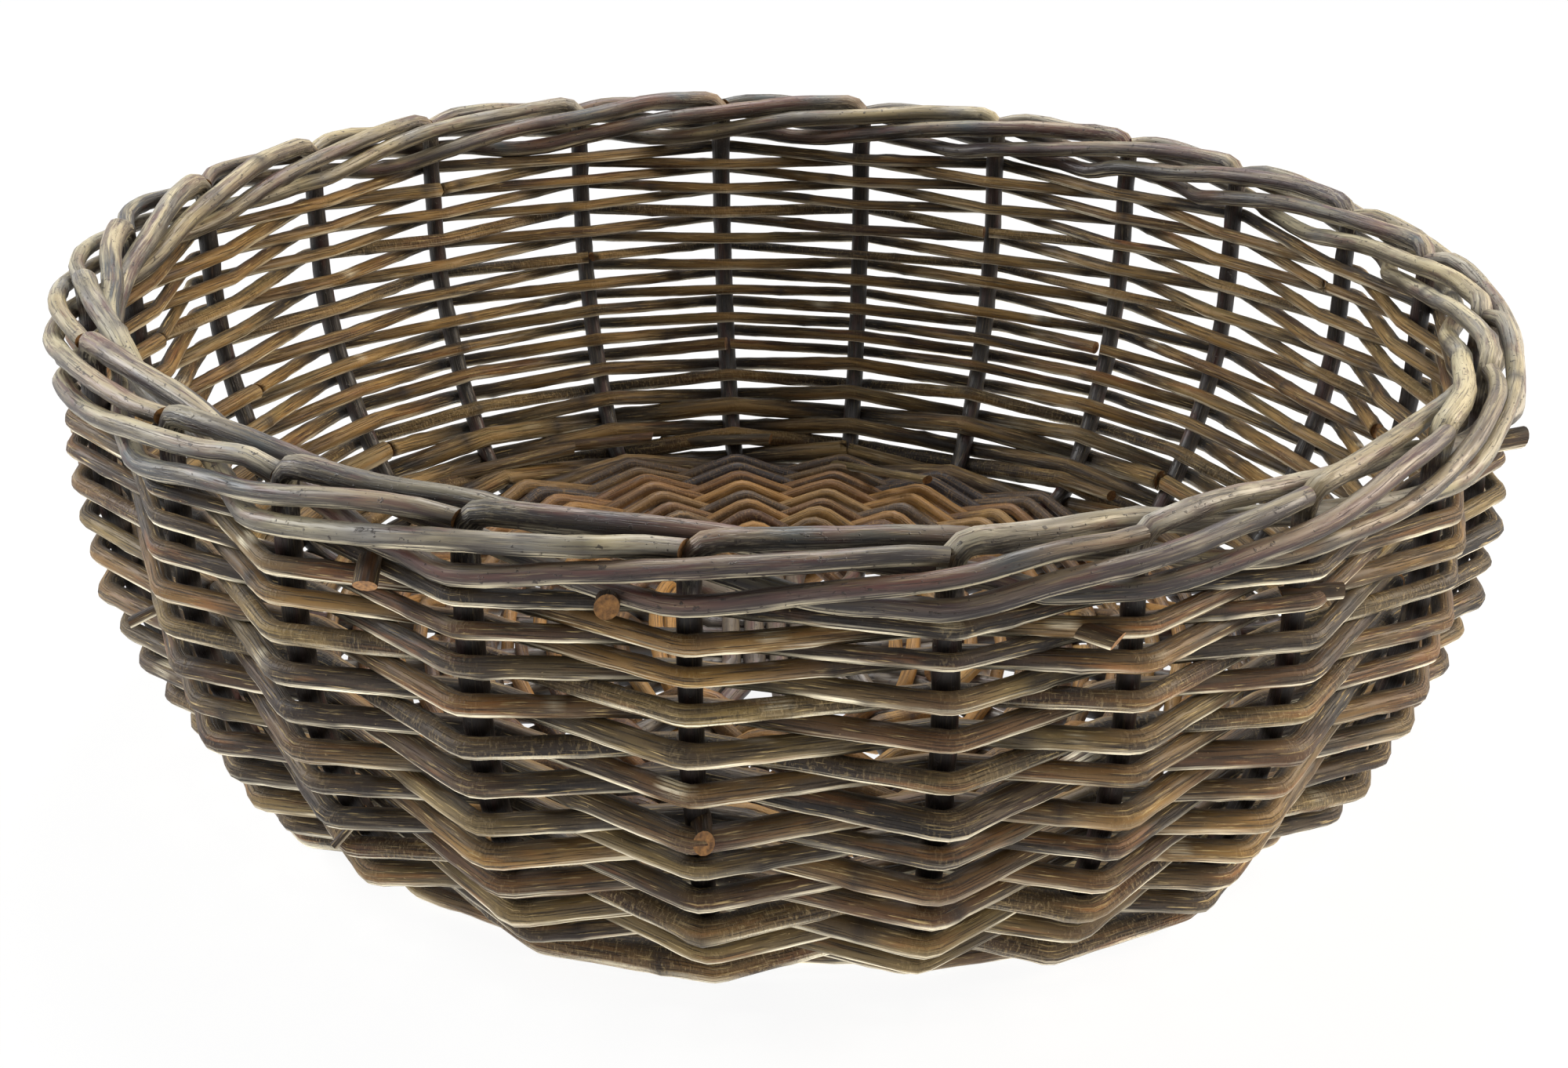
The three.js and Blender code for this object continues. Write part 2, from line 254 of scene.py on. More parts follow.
# Rolls a grid into a rod along its line, with lumps and leaf scars, and closes the two cut ends
def growRod(name, line, materials):
    global rodCount
    rodCount += 1
    growth = random.Random(rodCount)
    sides, rings = rodGrowth["sides"], len(line)
    offset = Vector((0, 0, rodGrowth["barkShift"] * rodCount))
    ovalTurn = growth.uniform(0, math.pi)
    slants = [growth.uniform(-rodGrowth["slant"], rodGrowth["slant"]) for end in range(2)]
    scars = growScars(growth, measureLine(line))

    shape = bmesh.new()
    shape.loops.layers.uv.new("rodUv")
    barkSpace = shape.verts.layers.float_vector.new("barkSpace")
    looks = {key: shape.verts.layers.float.new(key) for key in barkLooks}
    bmesh.ops.create_grid(shape, x_segments=sides, y_segments=rings - 1, size=0.5, calc_uvs=True)
    for vert in shape.verts:
        turn = 2 * math.pi * (round((vert.co.x + 0.5) * sides) % sides) / sides
        ring = round((vert.co.y + 0.5) * (rings - 1))
        stop = line[ring]
        straight = Vector((math.cos(turn) * stop["radius"], math.sin(turn) * stop["radius"], stop["run"]))
        swell, scar = scarAt(scars, stop["run"], turn)
        size = 1 + rodGrowth["lump"] * noise.noise((straight + offset) / rodGrowth["lumpLength"])
        size += rodGrowth["oval"] * math.cos(2 * turn + ovalTurn) + swell
        reach = stop["radius"] * size
        outward = stop["normal"] * math.cos(turn) + stop["across"] * math.sin(turn)
        vert.co = stop["place"] + outward * reach
        if ring in (0, rings - 1):
            vert.co += stop["along"] * reach * slants[ring > 0] * math.cos(turn)
        vert.co.x += hand["lean"] * max(0, 1 - vert.co.z / seatHeight)
        vert.co.z = max(vert.co.z, 0)  # worn flat where it stands
        vert[barkSpace] = straight + offset
        scuffPlace = (straight + offset * rodGrowth["scuffShift"]) / rodGrowth["scuffLength"]
        values = {key: stop[key] for key in ("tone", "weather", "wrinkle")}
        values |= {"scar": scar, "innerLight": 0.5 - 0.5 * math.cos(turn)}
        values |= wearAndPaintedLightAt(stop, outward, turn, scuffPlace)
        for key, value in values.items():
            vert[looks[key]] = value
    bmesh.ops.remove_doubles(shape, verts=shape.verts, dist=rodGrowth["seam"])
    for face in shape.faces:
        face.smooth = True
    for face in bmesh.ops.holes_fill(shape, edges=shape.edges, sides=sides)["faces"]:
        face.material_index = 1
        for edge in face.edges:
            edge.smooth = False
    bmesh.ops.recalc_face_normals(shape, faces=shape.faces)
    mesh = bpy.data.meshes.new(name)
    shape.to_mesh(mesh)
    shape.free()
    for material in materials:
        mesh.materials.append(material)
    piece = bpy.data.objects.new(name, mesh)
    bpy.context.scene.collection.objects.link(piece)
    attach(piece, "root")
    return piece


def linear(hexColour):  # sRGB hex to linear
    values = [int(hexColour[k : k + 2], 16) / 255 for k in (1, 3, 5)]
    return [v / 12.92 if v <= 0.04045 else ((v + 0.055) / 1.055) ** 2.4 for v in values] + [1]


def addNode(tree, kind, settings=None, inputs=None, stops=None):
    made = tree.nodes.new("ShaderNode" + kind)
    for key, value in (settings or {}).items():
        setattr(made, key, value)
    for key, value in (inputs or {}).items():
        if isinstance(value, bpy.types.NodeSocket):
            tree.links.new(value, made.inputs[key])
        else:
            made.inputs[key].default_value = value
    for k, (place, hexColour) in enumerate(stops or []):
        element = made.color_ramp.elements[k] if k < 2 else made.color_ramp.elements.new(place)
        element.position = place
        element.color = linear(hexColour)
    return made


# Unpeeled willow: satin bark that each rod has in its own tone, laid over with marks. A mark is a
# noise as wide and as long as its spots are on the rod, which shows between two levels.
def willowBark(name, look):
    material = bpy.data.materials.new(name)
    material.use_nodes = True
    tree = material.node_tree
    tree.nodes.clear()
    space = addNode(tree, "Attribute", {"attribute_name": "barkSpace"}).outputs["Vector"]
    carried = {}
    for key in barkLooks:
        carried[key] = addNode(tree, "Attribute", {"attribute_name": key}).outputs["Fac"]
    colour = addNode(tree, "ValToRGB", inputs={"Fac": carried["tone"]}, stops=look["tones"]).outputs[0]
    height = 0.0
    for mark in look["marks"]:
        scale = (1 / mark["wide"], 1 / mark["wide"], 1 / mark["long"])
        spots = addNode(tree, "Mapping", inputs={"Vector": space, "Scale": scale}).outputs[0]
        grain = {"Vector": spots, "Scale": 1.0, "Detail": 3.0, "Roughness": 0.6}
        spots = addNode(tree, "TexNoise", inputs=grain).outputs["Fac"]
        levels = {"Value": spots, "From Min": mark["from"], "From Max": mark["to"], "To Max": mark["share"]}
        shown = addNode(tree, "MapRange", {"interpolation_type": "SMOOTHSTEP"}, levels).outputs[0]
        if "where" in mark:
            shares = {0: shown, 1: carried[mark["where"]]}
            shown = addNode(tree, "Math", {"operation": "MULTIPLY"}, shares).outputs[0]
        layers = {0: shown, 6: colour, 7: linear(mark["colour"])}
        colour = addNode(tree, "Mix", {"data_type": "RGBA"}, layers).outputs[2]
        raised = {0: shown, 1: mark.get("rise", 0.0), 2: height}
        height = addNode(tree, "Math", {"operation": "MULTIPLY_ADD"}, raised).outputs[0]
    relief = {"Height": height, "Strength": 0.9, "Distance": look["relief"]}
    bump = addNode(tree, "Bump", inputs=relief).outputs[0]
    surface = {"Base Color": colour, "Roughness": look["roughness"], "Normal": bump, "IOR": 1.45}
    surface["Specular IOR Level"] = look["shine"]
    skin = addNode(tree, "BsdfPrincipled", inputs=surface).outputs[0]
    addNode(tree, "OutputMaterial", inputs={"Surface": skin})
    return material


# Bark of the side: umber, olive and russet rods, pale where the lower edge is scuffed to the wood and
# painted pale as light from below, painted dark as shade where a face turns in towards the weave, and
# painted lighter with warm patches on the faces inside the bowl
sideBark = willowBark("unpeeledWillowSide", {
    "tones": [
        (0, "#17110f"), (0.2, "#4c3118"), (0.4, "#735729"),
        (0.6, "#3f2513"), (0.8, "#6e5c35"), (1, "#2a2019"),
    ],
    "marks": [
        {"wide": 4 * mm, "long": 40 * mm, "from": 0.46, "to": 0.64, "share": 0.8, "colour": "#1e1713"},
        {"wide": 4.5 * mm, "long": 30 * mm, "from": 0.54, "to": 0.72, "share": 0.6, "colour": "#7a4c1f"},
        {"wide": 2 * mm, "long": 20 * mm, "from": 0.5, "to": 0.7, "share": 0.5, "colour": "#756750",
         "where": "weather"},
        # painted light: warm golden patches on the faces that look into the bowl, as if the inside were lit
        {"wide": 3 * mm, "long": 40 * mm, "from": 0.36, "to": 0.6, "share": 0.7, "colour": "#8c6f40",
         "where": "innerLight"},
        # painted shade: near black where a face is turned in towards the stakes and the rods beside it
        {"wide": 8 * mm, "long": 8 * mm, "from": 0.0, "to": 0.35, "share": 0.9, "colour": "#120d0a",
         "where": "tuckedShade"},
        {"wide": 0.5 * mm, "long": 9 * mm, "from": 0.58, "to": 0.7, "share": 0.75, "colour": "#ad9768",
         "rise": 0.3},
        {"wide": 0.4 * mm, "long": 15 * mm, "from": 0.5, "to": 0.32, "share": 0.8, "colour": "#17100c",
         "rise": -0.6},
        # painted highlight: the lower edges are pale, partly scuffed and partly painted as light from below
        {"wide": 0.6 * mm, "long": 32 * mm, "from": 0.4, "to": 0.56, "share": 1.0, "colour": "#dcd2b8",
         "rise": 0.3, "where": "under"},
        {"wide": 5 * mm, "long": 5 * mm, "from": 0.1, "to": 0.3, "share": 0.85, "colour": "#191210",
         "where": "scar"},
        {"wide": 1.5 * mm, "long": 0.6 * mm, "from": 0.52, "to": 0.66, "share": 0.5, "colour": "#98845f",
         "rise": 0.9, "where": "wrinkle"},
        {"wide": 1.5 * mm, "long": 0.6 * mm, "from": 0.46, "to": 0.3, "share": 0.6, "colour": "#20170f",
         "rise": -0.5, "where": "wrinkle"},
        {"wide": 0.9 * mm, "long": 1.6 * mm, "from": 0.7, "to": 0.76, "share": 0.6, "colour": "#a8926a",
         "rise": 0.4},
    ],
    "relief": 0.5 * mm,
    "roughness": 0.55,
    "shine": 0.35,
})
# Bark of the stakes and the border: painted near black as shade inside the weave, grey, mauve and beige
# where the weather reaches it, with dark specks; the strands are painted dark as shade on their lower
# sides, and weathered and scuffed pale on their tops and lower edges, with painted highlights there
stakeBark = willowBark("weatheredWillowBorder", {
    "tones": [
        (0, "#17120f"), (0.12, "#33272a"), (0.22, "#4f3026"), (0.32, "#333a3d"), (0.44, "#66503b"),
        (0.55, "#51473b"), (0.68, "#7f7252"), (0.8, "#6b6863"), (0.91, "#8f866a"), (1, "#8c877c"),
    ],
    "marks": [
        {"wide": 5 * mm, "long": 35 * mm, "from": 0.48, "to": 0.64, "share": 0.7, "colour": "#241c1c"},
        {"wide": 4 * mm, "long": 18 * mm, "from": 0.52, "to": 0.64, "share": 0.7, "colour": "#472723"},
        {"wide": 0.45 * mm, "long": 11 * mm, "from": 0.54, "to": 0.68, "share": 0.35, "colour": "#8f7f5f",
         "rise": 0.3},
        # painted shade: the lower sides of the strands are painted near black
        {"wide": 2.5 * mm, "long": 30 * mm, "from": 0.2, "to": 0.5, "share": 0.95, "colour": "#15100f",
         "where": "low"},
        # painted highlight: the tops of the strands are weathered pale and painted paler, as if lit from
        # above
        {"wide": 1.6 * mm, "long": 30 * mm, "from": 0.42, "to": 0.6, "share": 0.7, "colour": "#b3a98a",
         "where": "over"},
        {"wide": 0.5 * mm, "long": 12 * mm, "from": 0.58, "to": 0.7, "share": 0.45, "colour": "#b8ae98",
         "rise": 0.3, "where": "weather"},
        # painted highlight: the lower edges are pale, partly scuffed and partly painted as light from below
        {"wide": 0.6 * mm, "long": 30 * mm, "from": 0.42, "to": 0.58, "share": 0.8, "colour": "#c4b99c",
         "rise": 0.3, "where": "under"},
        {"wide": 5 * mm, "long": 5 * mm, "from": 0.1, "to": 0.3, "share": 0.85, "colour": "#1d1412",
         "where": "scar"},
        {"wide": 0.4 * mm, "long": 14 * mm, "from": 0.45, "to": 0.32, "share": 0.65, "colour": "#2a211d",
         "rise": -0.6},
        {"wide": 0.5 * mm, "long": 3 * mm, "from": 0.5, "to": 0.66, "share": 0.3, "colour": "#b8ac90",
         "rise": 0.6, "where": "wrinkle"},
        {"wide": 1.2 * mm, "long": 1.7 * mm, "from": 0.62, "to": 0.68, "share": 0.85, "colour": "#221915",
         "rise": 0.4},
    ],
    "relief": 0.5 * mm,
    "roughness": 0.46,
    "shine": 0.5,
})
# Bark of the base: thin rods that kept their warm colours
baseBark = willowBark("unpeeledWillowBase", {
    "tones": [
        (0, "#1a1413"), (0.2, "#55361c"), (0.4, "#8a6430"),
        (0.6, "#40281a"), (0.8, "#8f6e3c"), (1, "#272021"),
    ],
    "marks": [
        {"wide": 4 * mm, "long": 40 * mm, "from": 0.48, "to": 0.72, "share": 0.6, "colour": "#261a13"},
        {"wide": 0.5 * mm, "long": 24 * mm, "from": 0.52, "to": 0.72, "share": 0.5, "colour": "#9c7743",
         "rise": 0.3},
        {"wide": 0.4 * mm, "long": 14 * mm, "from": 0.5, "to": 0.32, "share": 0.7, "colour": "#1c120c",
         "rise": -0.6},
        {"wide": 1.4 * mm, "long": 0.6 * mm, "from": 0.52, "to": 0.66, "share": 0.4, "colour": "#a5824f",
         "rise": 0.7, "where": "wrinkle"},
    ],
    "relief": 0.4 * mm,
    "roughness": 0.5,
    "shine": 0.4,
})


# Willow wood where a rod is cut across: dull tan, with dirt in the grain
cutWood = {
    "grain": 0.9 * mm,
    "detail": 4.0,
    "tones": [(0.3, "#4a3018"), (0.7, "#8a6234")],
    "roughness": 0.8,
}


def cutWillow():
    material = bpy.data.materials.new("cutWillowEnd")
    material.use_nodes = True
    tree = material.node_tree
    tree.nodes.clear()
    space = addNode(tree, "Attribute", {"attribute_name": "barkSpace"}).outputs["Vector"]
    grain = {"Vector": space, "Scale": 1 / cutWood["grain"], "Detail": cutWood["detail"]}
    spots = addNode(tree, "TexNoise", inputs=grain).outputs["Fac"]
    colour = addNode(tree, "ValToRGB", inputs={"Fac": spots}, stops=cutWood["tones"]).outputs[0]
    skin = addNode(tree, "BsdfPrincipled", inputs={"Base Color": colour, "Roughness": cutWood["roughness"]})
    addNode(tree, "OutputMaterial", inputs={"Surface": skin.outputs[0]})
    return material


cutEnd = cutWillow()
print("materials made")

# The rows of the side, stacked on each other as thick as each rod is at each stake
sideWork = {
    "butt": 1.1,  # a rod is thickest at its butt
    "tip": 0.9,
    "spread": 0.1,  # how far rods differ
    "heights": {  # of a row, up the side
        "front": [
            (0, 5.6 * mm), (25 * mm, 5.85 * mm), (45 * mm, 5.75 * mm), (75 * mm, 5.4 * mm),
            (90 * mm, 4.75 * mm), (105 * mm, 4.2 * mm), (123 * mm, 3.3 * mm),
        ],
        "back": [(0, 6.05 * mm), (45 * mm, 5.7 * mm), (123 * mm, 3.8 * mm)],
    },
    "fills": {  # how much of its row a rod fills
        "front": [(0, 1.2), (40 * mm, 1.12), (75 * mm, 1.1), (95 * mm, 1.14), (123 * mm, 1.15)],
        "back": [
            (0, 1.15), (22 * mm, 1.05), (38 * mm, 0.85), (55 * mm, 0.75), (75 * mm, 0.76), (110 * mm, 0.78),
            (118 * mm, 0.9), (123 * mm, 1.1),
        ],
    },
    "beds": {  # how far a weaver stands off a stake
        "front": [(0, 0.7), (18 * mm, 1.0), (60 * mm, 1.1)],
        "back": [
            (0, 0.45), (20 * mm, 0.6), (35 * mm, 1.2), (60 * mm, 1.55), (110 * mm, 1.45), (123 * mm, 1.1),
        ],
    },
    "stakesToNextStart": 7,  # from where one row begins to where the next one does
    "step": 3 * mm,
    "endGap": 1.6 * mm,
    "wander": 0.9 * mm,
    "wanderLength": 30 * mm,
    "wanderOut": 0.5,  # of the wander up and down
    "steepest": 0.8,  # sine of the steepest way between two stakes
    "weather": (0.1, 0.9),
    "wrinkled": 0.3,  # share of the rods whose bark dried in wrinkles
    "wrinkles": (0.5, 1),
    "smooth": 0.05,  # wrinkles of the other rods
    "bendWrinkle": 0.4,
    "drift": 0.5,  # how far the tone changes along a rod
    "driftLength": 70 * mm,
    "stackSeed": 7,
    "rowSeed": 100,
}
sideNames = sorted(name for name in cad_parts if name.startswith("side_weaver"))
rows = len(sideNames)


def upTheSide(stops, distance):  # a value given at some distances up the side
    for (low, first), (high, last) in zip(stops, stops[1:]):
        if distance < high:
            return first + (last - first) * (distance - low) / (high - low)
    return stops[-1][1]


def roundTheSide(values, distance, angle):  # between what the front has and what the back has
    front = 0.5 - 0.5 * math.sin(angle)
    return front * upTheSide(values["front"], distance) + (1 - front) * upTheSide(values["back"], distance)


def stackRows():
    growth = random.Random(sideWork["stackSeed"])
    rods = [1 + growth.uniform(-sideWork["spread"], sideWork["spread"]) for row in range(rows)]
    sizes, places = [], []
    for stake in range(stakes):
        column = []
        distance = 0
        for row, rod in enumerate(rods):
            plain = roundTheSide(sideWork["heights"], distance, stakeAngles[stake])
            distance += plain
            taper = (stake - sideWork["stakesToNextStart"] * row - 1) % stakes / stakes
            column.append(plain * rod * (sideWork["butt"] - (sideWork["butt"] - sideWork["tip"]) * taper))
        fit = sideLength / sum(column)
        sizes.append([size * fit for size in column])
        places.append([sum(sizes[stake][:row]) + sizes[stake][row] / 2 for row in range(rows)])
    return sizes, places


rowSizes, rowPlaces = stackRows()


# A weaver once round: it leans in to each stake, hugs it and leans out again
def sideRow(row):
    growth = random.Random(sideWork["rowSeed"] + row)
    tone = growth.random()
    weather = growth.uniform(*sideWork["weather"])
    wrinkled = sideWork["smooth"]
    if growth.random() < sideWork["wrinkled"]:
        wrinkled = growth.uniform(*sideWork["wrinkles"])
    first = sideWork["stakesToNextStart"] * row + 1
    repeat = 3 if row < bowl["waleRows"] else 2
    sides = [-1 if step % repeat == 0 else 1 for step in range(stakes + 1)]
    line = []
    for step, side in enumerate(sides):
        stake = (first + step) % stakes
        angle = stakeAngles[stake]
        distance = rowPlaces[stake][row]
        radius, height, turn = sidePlace(distance)
        fill = roundTheSide(sideWork["fills"], distance, angle)
        thick = fill * rowSizes[stake if step < stakes else stake - 1][row]
        outward = spinRound(math.cos(turn), math.sin(turn), angle)
        onward = Vector((-math.sin(angle), math.cos(angle), 0))
        centre = spinRound(radius, height, angle)
        hug = (rodRadius * stakeSizes[stake] + thick / 2) * roundTheSide(sideWork["beds"], distance, angle)
        bay = 2 * radius * math.sin(bayAngle / 2)
        crossing = math.asin(min(sideWork["steepest"], 2 * hug / bay))
        leans = [0]
        if step > 0:
            leans = [-side * bayAngle / 2 - (crossing if sides[step - 1] != side else 0)] + leans
        if step < stakes:
            leans = leans + [side * bayAngle / 2 + (crossing if sides[step + 1] != side else 0)]
        for lean in leans:
            place = centre + outward * side * hug * math.cos(lean) + onward * hug * math.sin(lean)
            if len(leans) == 2 and lean == 0:
                place += onward * sideWork["endGap"] * (0.5 if step == 0 else -0.5)
            wobble = noise.noise_vector(place / sideWork["wanderLength"] + Vector((0, 0, row)))
            place += (outward * wobble.x * sideWork["wanderOut"] + upward * wobble.y) * sideWork["wander"]
            drift = sideWork["drift"] * noise.noise(place / sideWork["driftLength"] + Vector((row, 0, 0)))
            looks = (tone + drift, weather, sideWork["bendWrinkle"])
            addStop(line, place, outward, thick / 2, *looks, side * math.cos(lean))
    line = straightLine(line, sideWork["step"], wrinkled)
    piece = growRod(sideNames[row] + "_bark", line, [sideBark, cutEnd])
    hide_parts(sideNames[row])


for row in range(rows):
    sideRow(row)
print("side woven, rows:", rows)

# Cut tails that stick out of the side, and ends of rods that lie inside by the base: degrees round from
# the front, distance below the border, which way they point (onward, outward and up the side), how long
# and thick they are, and their tone. Sizes are in millimetres.
tails = [
    {"at": -26.8, "below": 0, "points": (0.4, 0.8, -0.35), "long": 9, "thick": 5.6, "tone": 0.1},
    {"at": -9.9, "below": -2, "points": (0.2, 0.9, 0.1), "long": 9.5, "thick": 5.2, "tone": 0.12},
    {"at": 20, "below": 6, "points": (0.6, 0.8, 0), "long": 11, "thick": 4.4, "tone": 0.2},
    {"at": 37, "below": 9, "points": (0.9, 0.5, 0.05), "long": 14, "thick": 3.6, "tone": 0.15},
    {"at": 68, "below": 3, "points": (0.7, 0.8, 0.1), "long": 14, "thick": 5.2, "tone": 0.1},
    {"at": -4.5, "below": 53, "points": (0.2, 0.9, 0.1), "long": 9, "thick": 4.8, "tone": 0.2},
    {"at": -33, "below": 78, "points": (-0.6, 0.9, -0.6), "long": 13, "thick": 2, "tone": 0.1},
    {"at": -52, "below": 40, "points": (-0.4, 0.9, -0.3), "long": 11, "thick": 2.6, "tone": 0.1},
    {"at": 228, "below": 105, "points": (-0.9, -0.32, -0.18), "long": 48, "thick": 4.6, "tone": 0.35},
    {"at": 216, "below": 103, "points": (-0.9, -0.32, -0.18), "long": 46, "thick": 4.2, "tone": 0.2},
    {"at": 198, "below": 107, "points": (-0.9, -0.3, -0.2), "long": 40, "thick": 4, "tone": 0.95},
    {"at": 178, "below": 117, "points": (-0.6, -0.46, -0.7), "long": 70, "thick": 3, "tone": 0.78},
    {"at": 150, "below": 106, "points": (-0.9, -0.32, -0.18), "long": 42, "thick": 4, "tone": 0.4},
]
tailWork = {"stops": 5, "weather": 0.4}


def cutTail(number, tail):
    angle = frontAngle + math.radians(tail["at"])
    distance = sideLength - tail["below"] * mm
    radius, height, turn = sidePlace(distance)
    outward = spinRound(math.cos(turn), math.sin(turn), angle)
    onward = Vector((-math.sin(angle), math.cos(angle), 0))
    upSide = outward.cross(onward)
    toOnward, toOutward, toUp = tail["points"]
    reach = (onward * toOnward + outward * toOutward + upSide * toUp).normalized() * tail["long"] * mm
    root = spinRound(radius, height, angle)
    line = []
    for k in range(tailWork["stops"]):
        place = root + reach * (k / (tailWork["stops"] - 1))
        addStop(line, place, upSide, tail["thick"] / 2 * mm, tail["tone"], tailWork["weather"])
    row = min(range(rows), key=lambda k: abs(rowPlaces[0][k] - distance))
    piece = growRod(f"cut_tail_{number + 1:02d}", line, [sideBark, cutEnd])
    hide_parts(sideNames[row])


for number, tail in enumerate(tails):
    cutTail(number, tail)
print("tails and ends set:", len(tails))

# The base: rods of the cross, in two layers, which open into pairs and then into single spokes
easySpan = 2 * bowl["easySpan"] * (rodRadius + math.sqrt(math.pi) * bowl["baseWeaver"] / 4 + bowl["gap"])
bindRadius = (lay + easySpan) / (2 * math.sin(bayAngle))
openRadius = easySpan / (2 * math.sin(bayAngle / 2))
crossTurn = bowl["firstStake"] + (bowl["armRods"] - 1) / 2 * bayAngle  # the first arm of the cross


def pairAngle(spoke):  # from the middle pair of the first arm
    return (spoke // 2 - 1) * 2 * bayAngle


def pairSide(spoke):
    return 1 if spoke % 2 else -1


def domeHeight(radius):
    return edgeHeight + bowl["baseDome"] * (1 - (radius / bowl["baseRadius"]) ** 2)


def partingAngle(radius):
    if radius >= openRadius:
        return bayAngle / 2
    share = max(0, (radius - bindRadius) / (openRadius - bindRadius))
    aside = lay / 2 + (openRadius * math.sin(bayAngle / 2) - lay / 2) * share
    return math.asin(aside / radius)


def spokePoint(spoke, radius):
    angle = crossTurn + pairAngle(spoke) + pairSide(spoke) * partingAngle(radius)
    stray = stakeAngles[spoke] - bowl["firstStake"] - bayAngle * spoke
    angle += stray * max(0, (radius - openRadius) / (bowl["baseRadius"] - openRadius))
    return spinRound(radius, domeHeight(radius), angle)


def crossPoint(spoke):  # where a rod leaves its place in the cross
    arm = spoke // bowl["armRods"]
    place = (spoke % bowl["armRods"] - (bowl["armRods"] - 1) / 2) * lay
    lean = pairAngle(spoke) - arm * math.pi / 2
    aside = pairSide(spoke) * lay / 2
    reach = bowl["armRods"] * lay / math.sqrt(3)
    if abs(lean) > bayAngle / 2:
        along = (place - aside * math.cos(lean)) / math.sin(lean)
        reach = along * math.cos(lean) - aside * math.sin(lean)
    layer = lay / 2 if arm % 2 else -lay / 2
    turned = Matrix.Rotation(crossTurn + arm * math.pi / 2, 3, "Z")
    return turned @ Vector((reach, place, domeHeight(0) + layer))


# The border, in rod lays out from the stakes and over the last row, by stakes passed. A stake bends
# over, goes behind the next two, comes out below, rises in front of two more and ends under a bend.
border = {
    "bendHeight": 1.5,
    "bendRadius": 0.85,
    "bendStops": 4,
    "route": [
        (0.5, -0.45, 2.3), (1, -1.0, 2.0), (1.5, -1.06, 1.5), (2, -1.08, 0.98), (2.25, -0.75, 0.66),
        (2.5, -0.05, 0.51), (2.75, 0.52, 0.55), (3, 1.0, 0.62), (3.5, 1.1, 1.16), (4, 1.05, 1.64),
        (4.5, 0.76, 2.12), (4.82, 0.45, 2.2), (4.98, 0.1, 2.0),
    ],
    "strand": 0.98,  # of the stake's thickness
    "drift": 0.35,
    "driftLength": 45 * mm,
    "routeEnd": 5,  # stakes passed
    "unevenness": 0.12,
    "taper": 0.2,
    "step": 4 * mm,
    "middleStep": 7 * mm,
    "spokeStops": 5,
    "sideStops": 15,
    # painted shade: the stakes are near black where the weave hides them from the light
    "shadeTone": 0.0,
    "baseTone": 0.55,
    "tones": (0.05, 0.12, 0.2, 0.31, 0.42, 0.7),  # near black, mauve, russet, slate, brown and beige bark
    "veil": (0.3, 1.1),  # how weathered one strand is beside another
    "paintedSideLight": 0.45,  # how much the tone rises at the left and right, painted paler there as if lit from the sides
    "shadedWeather": 0.25,  # share of the weather kept at the front and the back, which are painted darker as if in shade
    "seed": 300,
}


def passedAngle(count):  # angle of a place among the stakes, counted from the first
    low = math.floor(count)
    ends = [stakeAngles[k % stakes] + 2 * math.pi * (k // stakes) for k in (low, low + 1)]
    return ends[0] + (ends[1] - ends[0]) * (count - low)


def rodHalf(spoke, growth):  # from the cross out along the spoke, up the stake and round the border
    angle = stakeAngles[spoke]
    stakeRadius = rodRadius * stakeSizes[spoke]
    shade = border["shadeTone"]
    halfway = passedAngle(spoke + border["routeEnd"] / 2)
    # painted light: strands at the left and right are paler, as if lit from the sides
    tone = growth.choice(border["tones"]) + border["paintedSideLight"] * math.cos(halfway) ** 2
    veil = growth.uniform(*border["veil"])
    spokeStep = (bowl["baseRadius"] - openRadius) / border["spokeStops"]
    spokeRadii = [bindRadius] + [openRadius + spokeStep * k for k in range(border["spokeStops"])]
    line = []
    addStop(line, crossPoint(spoke), -upward, stakeRadius, border["baseTone"])
    for radius in spokeRadii:
        addStop(line, spokePoint(spoke, radius), -upward, stakeRadius, border["baseTone"])
    for k in range(border["sideStops"]):
        radius, height, turn = sidePlace(sideLength * k / (border["sideStops"] - 1))
        outward = spinRound(math.cos(turn), math.sin(turn), angle)
        addStop(line, spinRound(radius, height, angle), outward, stakeRadius, shade)
    laysPerStake = seatRadius * bayAngle / lay

    def toBorder(passed, out, height, radius, wrinkle):
        turned = passedAngle(spoke + passed)
        place = spinRound(seatRadius + out * lay, seatHeight + height * lay, turned)
        drift = border["drift"] * noise.noise(place / border["driftLength"] + Vector((spoke, 0, 0)))
        # painted shade: the front and the back keep less weather, and so less of their pale tops, as if in
        # shade
        weather = veil * (border["shadedWeather"] + (1 - border["shadedWeather"]) * math.cos(turned) ** 2)
        addStop(line, place, spinRound(1, 0, turned), radius, tone + drift, weather, wrinkle)

    for k in range(border["bendStops"]):
        turn = math.pi / 2 * k / (border["bendStops"] - 1)
        along = border["bendRadius"] * (1 - math.cos(turn)) / laysPerStake
        height = border["bendHeight"] + border["bendRadius"] * math.sin(turn)
        toBorder(along, 0, height, stakeRadius, 1)
    for passed, out, height in border["route"]:
        out += growth.uniform(-border["unevenness"], border["unevenness"])
        height += growth.uniform(-border["unevenness"], border["unevenness"])
        strand = stakeRadius * border["strand"] * (1 - border["taper"] * passed / border["routeEnd"])
        toBorder(passed, out, height, strand, 0)
    return springLine(line, border["step"])


def frameRod(rod):
    growth = random.Random(border["seed"] + rod)
    arm = rod // bowl["armRods"]
    partner = (2 * arm + 3) * bowl["armRods"] - 1 - rod
    near, far = rodHalf(rod, growth), rodHalf(partner, growth)
    middle = straightLine([near[0], far[0]], border["middleStep"])
    name = f"frame_rod_{rod + 1:02d}"
    piece = growRod(name + "_bark", near[:0:-1] + middle + far[1:], [stakeBark, cutEnd])
    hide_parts(name)


for rod in range(stakes // 2):
    frameRod(rod)
print("frame rods and border laid")

